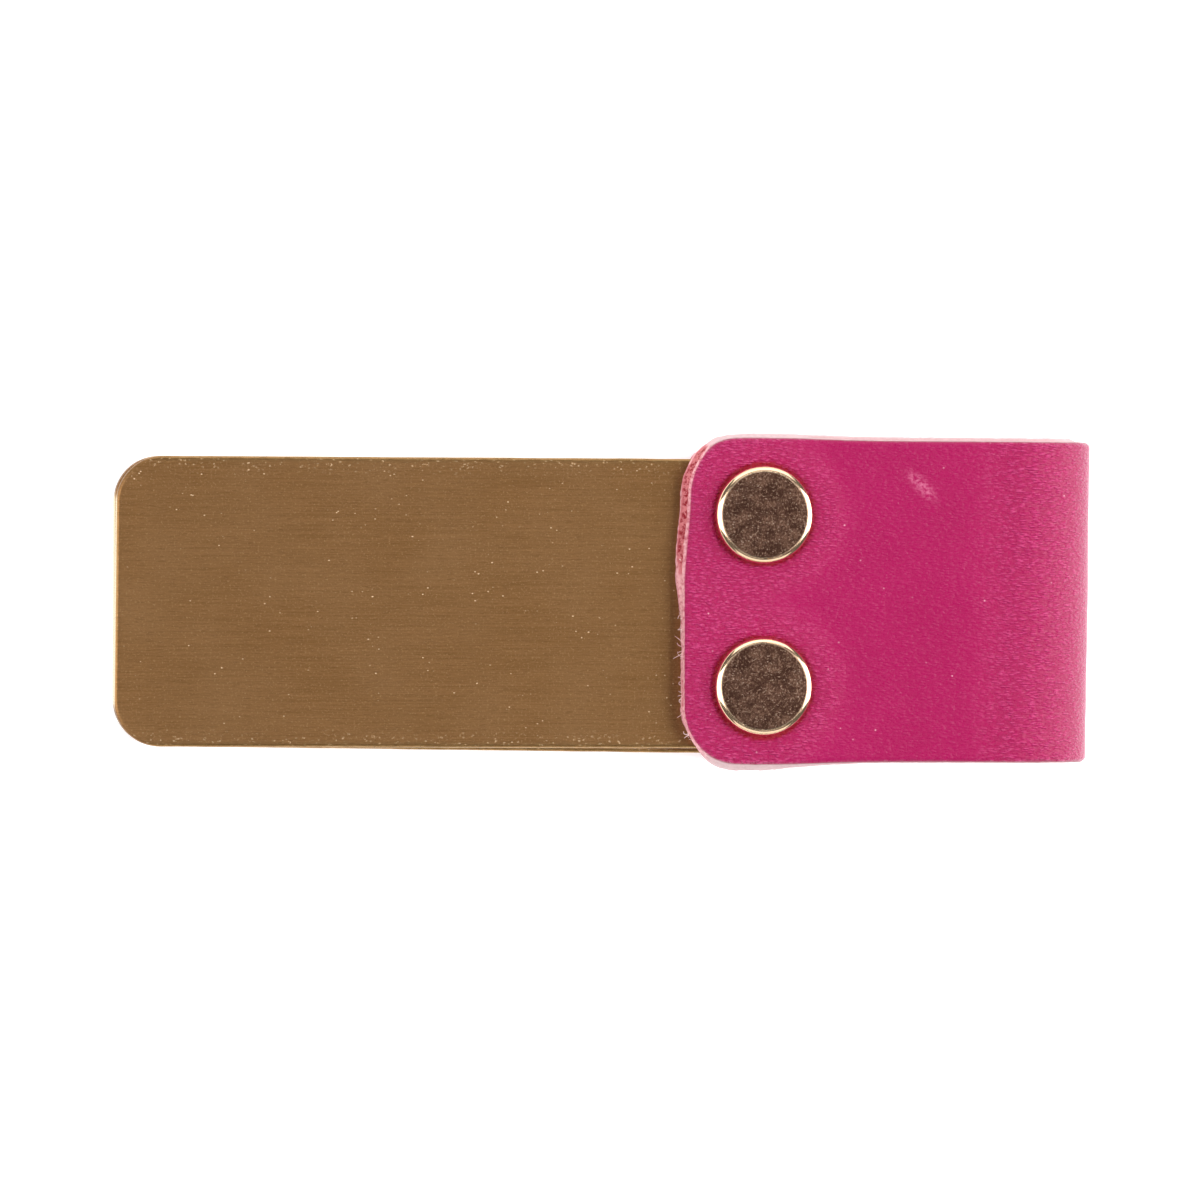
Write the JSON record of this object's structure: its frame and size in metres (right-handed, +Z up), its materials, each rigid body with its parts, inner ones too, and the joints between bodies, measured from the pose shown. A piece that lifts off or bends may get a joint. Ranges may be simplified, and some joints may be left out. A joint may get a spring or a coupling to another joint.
{
  "type": "money clip",
  "caption": "Hairpin spring money clip: a brushed brass strip bent double, its bend wrapped in a riveted leather strap.",
  "frame": {"origin": "centre of the footprint, on the surface that the clip lies on with its back leg down", "axes": "+X along the clip from its free ends to its leather-covered bend, +Y across its width, +Z up out of the front leg"},
  "size_m": [0.0762, 0.025, 0.016],
  "materials": {
    "strip_brass": "antiqued, brushed along its length, tumbled edges",
    "strap_leather": "dyed, fine pebbled grain, raw cut edges",
    "rivet_shell": "polished light gold with fine pits and scratches",
    "rivet_core": "plain drawn sheet"
  },
  "bodies": {
    "back_half": {"back_leaf": "strip_brass", "clip_bow": "strip_brass", "strap_back_flap": "strap_leather", "strap_fold": "strap_leather", "back_cap_upper": "rivet_shell", "back_cap_lower": "rivet_shell", "back_socket_upper": "rivet_core", "back_socket_lower": "rivet_core", "back_post_upper": "rivet_core", "back_post_lower": "rivet_core", "back_head_upper": "rivet_shell", "back_head_lower": "rivet_shell"},
    "front_half": {"front_leaf": "strip_brass", "strap_front_flap": "strap_leather", "front_cap_upper": "rivet_shell", "front_cap_lower": "rivet_shell", "front_socket_upper": "rivet_core", "front_socket_lower": "rivet_core", "front_post_upper": "rivet_core", "front_post_lower": "rivet_core", "front_head_upper": "rivet_shell", "front_head_lower": "rivet_shell"}
  },
  "joints": [
    {"name": "clip_open", "type": "hinge", "parent": "back_half", "child": "front_half", "pos_m": [0.03144, 0, 0.00939], "axis": [0, 1, 0], "range_deg": [0, 6], "stiffness_Nm_per_rad": 3.4, "springref_deg": -0.34, "deforming": ["clip_bow", "strap_fold"]}
  ]
}
